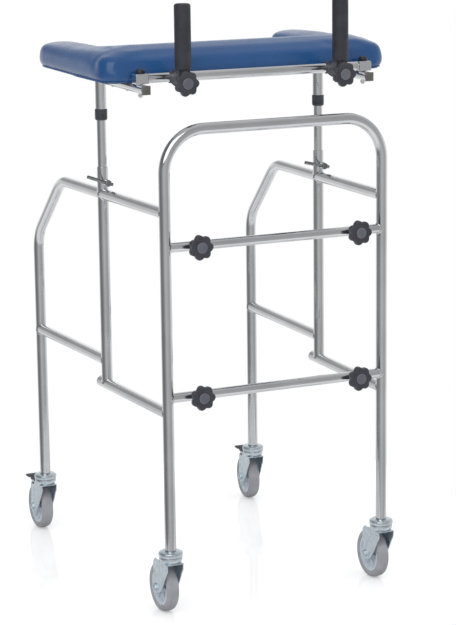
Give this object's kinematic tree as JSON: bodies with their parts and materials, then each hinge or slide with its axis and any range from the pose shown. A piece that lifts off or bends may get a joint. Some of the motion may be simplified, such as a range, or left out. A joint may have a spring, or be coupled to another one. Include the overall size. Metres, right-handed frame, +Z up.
{
  "type": "forearm support walker",
  "caption": "Chromed tube walking frame on swivel casters with a height-adjustable padded forearm rest and upright hand grips.",
  "frame": {"origin": "on the floor, in the middle of the walker's outer box", "axes": "+Z up, +Y towards the user who walks behind it, +X to the right as seen from the front"},
  "size_m": [0.628, 0.7592, 1.191],
  "materials": {
    "chrome": "polished",
    "zinc": "satin zinc plate",
    "black_plastic": "satin",
    "grey_plug": "matte",
    "vinyl": "grained vinyl, semi-gloss",
    "plywood": "raw",
    "rubber": "matte",
    "hub": "satin"
  },
  "bodies": {
    "frame": {"front_frame": "chrome", "crossbar_upper": "chrome", "crossbar_lower": "chrome", "side_frame_left": "chrome", "rear_rail_left": "chrome", "front_rail_left": "chrome", "front_rail_plug_left": "grey_plug", "post_left": "chrome", "post_sleeve_left": "chrome", "side_frame_right": "chrome", "rear_rail_right": "chrome", "front_rail_right": "chrome", "front_rail_plug_right": "grey_plug", "post_right": "chrome", "post_sleeve_right": "chrome", "caster_stem_front_left": "zinc", "caster_stem_front_right": "zinc", "caster_stem_rear_left": "zinc", "caster_stem_rear_right": "zinc"},
    "carriage": {"cross_tube": "chrome", "pad_board": "plywood", "forearm_pad": "vinyl", "inner_post_left": "chrome", "post_collar_left": "black_plastic", "upper_socket_left": "chrome", "armrest_rail_left": "chrome", "armrest_rail_plug_left": "grey_plug", "cross_clamp_left": "chrome", "inner_post_right": "chrome", "post_collar_right": "black_plastic", "upper_socket_right": "chrome", "armrest_rail_right": "chrome", "armrest_rail_plug_right": "grey_plug", "cross_clamp_right": "chrome"},
    "post_clamp_left": {"post_clamp_left": "chrome"},
    "post_clamp_right": {"post_clamp_right": "chrome"},
    "crossbar_knob_upper_left": {"crossbar_knob_upper_left": "black_plastic"},
    "crossbar_knob_upper_right": {"crossbar_knob_upper_right": "black_plastic"},
    "crossbar_knob_lower_left": {"crossbar_knob_lower_left": "black_plastic"},
    "crossbar_knob_lower_right": {"crossbar_knob_lower_right": "black_plastic"},
    "grip_left": {"grip_clamp_left": "black_plastic", "hand_grip_left": "black_plastic"},
    "grip_knob_left": {"grip_knob_left": "black_plastic"},
    "grip_right": {"grip_clamp_right": "black_plastic", "hand_grip_right": "black_plastic"},
    "grip_knob_right": {"grip_knob_right": "black_plastic"},
    "caster_front_left": {"caster_fork_front_left": "zinc"},
    "wheel_front_left": {"caster_hub_front_left": "hub", "caster_tyre_front_left": "rubber"},
    "caster_front_right": {"caster_fork_front_right": "zinc"},
    "wheel_front_right": {"caster_hub_front_right": "hub", "caster_tyre_front_right": "rubber"},
    "caster_rear_left": {"caster_fork_rear_left": "zinc"},
    "wheel_rear_left": {"caster_hub_rear_left": "hub", "caster_tyre_rear_left": "rubber"},
    "brake_pedal_left": {"brake_pedal_left": "black_plastic"},
    "caster_rear_right": {"caster_fork_rear_right": "zinc"},
    "wheel_rear_right": {"caster_hub_rear_right": "hub", "caster_tyre_rear_right": "rubber"},
    "brake_pedal_right": {"brake_pedal_right": "black_plastic"}
  },
  "joints": [
    {"name": "armrest_height", "type": "slide", "parent": "frame", "child": "carriage", "axis": [0, 0, 1], "range_m": [-0.09, 0.12]},
    {"name": "post_clamp_left_turn", "type": "hinge", "parent": "frame", "child": "post_clamp_left", "pos_m": [-0.24358, -0.0755, 0.825], "axis": [0, -1, 0], "range_deg": [-180, 45]},
    {"name": "post_clamp_right_turn", "type": "hinge", "parent": "frame", "child": "post_clamp_right", "pos_m": [0.24358, -0.0755, 0.825], "axis": [0, -1, 0], "range_deg": [-180, 45]},
    {"name": "crossbar_knob_upper_left_turn", "type": "hinge", "parent": "frame", "child": "crossbar_knob_upper_left", "pos_m": [-0.172, -0.3552, 0.733], "axis": [0, -1, 0], "range_deg": [0, 720]},
    {"name": "crossbar_knob_upper_right_turn", "type": "hinge", "parent": "frame", "child": "crossbar_knob_upper_right", "pos_m": [0.172, -0.3552, 0.733], "axis": [0, -1, 0], "range_deg": [0, 720]},
    {"name": "crossbar_knob_lower_left_turn", "type": "hinge", "parent": "frame", "child": "crossbar_knob_lower_left", "pos_m": [-0.172, -0.3552, 0.438], "axis": [0, -1, 0], "range_deg": [0, 720]},
    {"name": "crossbar_knob_lower_right_turn", "type": "hinge", "parent": "frame", "child": "crossbar_knob_lower_right", "pos_m": [0.172, -0.3552, 0.438], "axis": [0, -1, 0], "range_deg": [0, 720]},
    {"name": "grip_left_slide", "type": "slide", "parent": "carriage", "child": "grip_left", "axis": [1, 0, 0], "range_m": [-0.045, 0.125]},
    {"name": "grip_knob_left_turn", "type": "hinge", "parent": "grip_left", "child": "grip_knob_left", "pos_m": [-0.1695, -0.3022, 1.04], "axis": [0, -1, 0], "range_deg": [0, 720]},
    {"name": "grip_right_slide", "type": "slide", "parent": "carriage", "child": "grip_right", "axis": [-1, 0, 0], "range_m": [-0.045, 0.125]},
    {"name": "grip_knob_right_turn", "type": "hinge", "parent": "grip_right", "child": "grip_knob_right", "pos_m": [0.1695, -0.3022, 1.04], "axis": [0, -1, 0], "range_deg": [0, 720]},
    {"name": "caster_front_left_swivel", "type": "hinge", "parent": "frame", "child": "caster_front_left", "pos_m": [-0.235, -0.3454, 0.11], "axis": [0, 0, 1], "continuous": true},
    {"name": "wheel_front_left_spin", "type": "hinge", "parent": "caster_front_left", "child": "wheel_front_left", "pos_m": [-0.235, -0.3104, 0.05], "axis": [1, 0, 0], "continuous": true},
    {"name": "caster_front_right_swivel", "type": "hinge", "parent": "frame", "child": "caster_front_right", "pos_m": [0.235, -0.3454, 0.11], "axis": [0, 0, 1], "continuous": true},
    {"name": "wheel_front_right_spin", "type": "hinge", "parent": "caster_front_right", "child": "wheel_front_right", "pos_m": [0.235, -0.3104, 0.05], "axis": [1, 0, 0], "continuous": true},
    {"name": "caster_rear_left_swivel", "type": "hinge", "parent": "frame", "child": "caster_rear_left", "pos_m": [-0.254, 0.2946, 0.11], "axis": [0, 0, 1], "continuous": true},
    {"name": "wheel_rear_left_spin", "type": "hinge", "parent": "caster_rear_left", "child": "wheel_rear_left", "pos_m": [-0.254, 0.3296, 0.05], "axis": [1, 0, 0], "continuous": true},
    {"name": "brake_pedal_left_press", "type": "hinge", "parent": "caster_rear_left", "child": "brake_pedal_left", "pos_m": [-0.254, 0.3256, 0.104], "axis": [-1, 0, 0], "range_deg": [0, 7]},
    {"name": "caster_rear_right_swivel", "type": "hinge", "parent": "frame", "child": "caster_rear_right", "pos_m": [0.254, 0.2946, 0.11], "axis": [0, 0, 1], "continuous": true},
    {"name": "wheel_rear_right_spin", "type": "hinge", "parent": "caster_rear_right", "child": "wheel_rear_right", "pos_m": [0.25796, 0.32937, 0.05], "axis": [0.9936, -0.1132, 0], "continuous": true},
    {"name": "brake_pedal_right_press", "type": "hinge", "parent": "caster_rear_right", "child": "brake_pedal_right", "pos_m": [0.25751, 0.3254, 0.104], "axis": [-0.9936, 0.1132, 0], "range_deg": [0, 7]}
  ]
}
